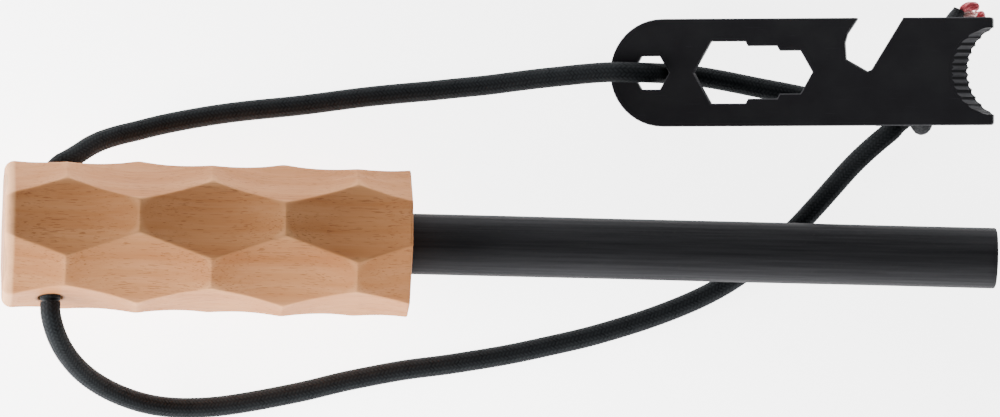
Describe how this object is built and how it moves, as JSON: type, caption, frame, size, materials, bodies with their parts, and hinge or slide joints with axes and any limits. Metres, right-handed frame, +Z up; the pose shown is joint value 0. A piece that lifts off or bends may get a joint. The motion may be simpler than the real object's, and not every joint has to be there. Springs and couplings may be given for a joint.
{
  "type": "ferro rod fire starter",
  "caption": "Ferrocerium striking rod in a faceted wooden handle, with a cord loop through the handle and a flat steel multi-tool scraper threaded on the loop.",
  "frame": {"origin": "on the table plane, under the middle of the handle, rod and scraper (cords left out)", "axes": "+X along the rod in plan, from the handle's butt to the rod's tip; +Y towards the scraper; +Z up from the table"},
  "size_m": [0.2076, 0.0903, 0.0355],
  "materials": {
    "beech": "oiled satin",
    "ferro_rod": "drawn, dull",
    "adhesive": "cured epoxy",
    "black_coat": "matte black coating",
    "cord": "braided nylon sheath",
    "tinder": "waxed red strand",
    "yarn": "twisted nylon yarn"
  },
  "bodies": {
    "striker": {"handle": "beech", "ferro_rod": "ferro_rod", "rod_adhesive": "adhesive", "lanyard_in_handle": "cord", "lanyard_upper_run": "cord", "lanyard_lower_run": "cord"},
    "tether_end": {"lanyard_eyelet_run": "cord", "knot_strand_a": "cord", "knot_strand_b": "cord", "tail_a": "cord", "tail_b": "cord", "tinder_core_a": "tinder", "tinder_core_b": "tinder", "core_yarns_a": "yarn", "core_yarns_b": "yarn"},
    "scraper": {"scraper": "black_coat"}
  },
  "joints": [
    {"name": "tether_swing", "type": "hinge", "parent": "striker", "child": "tether_end", "pos_m": [0.0612, -0.0125, 0.00205], "axis": [1, 0, 0], "range_deg": [0, 60], "deforming": ["lanyard_upper_run", "lanyard_lower_run"]},
    {"name": "scraper_tilt", "type": "hinge", "parent": "tether_end", "child": "scraper", "pos_m": [0.03059, 0.01973, 0.00562], "axis": [0.0288, -0.9996, 0], "range_deg": [0, 15]}
  ]
}
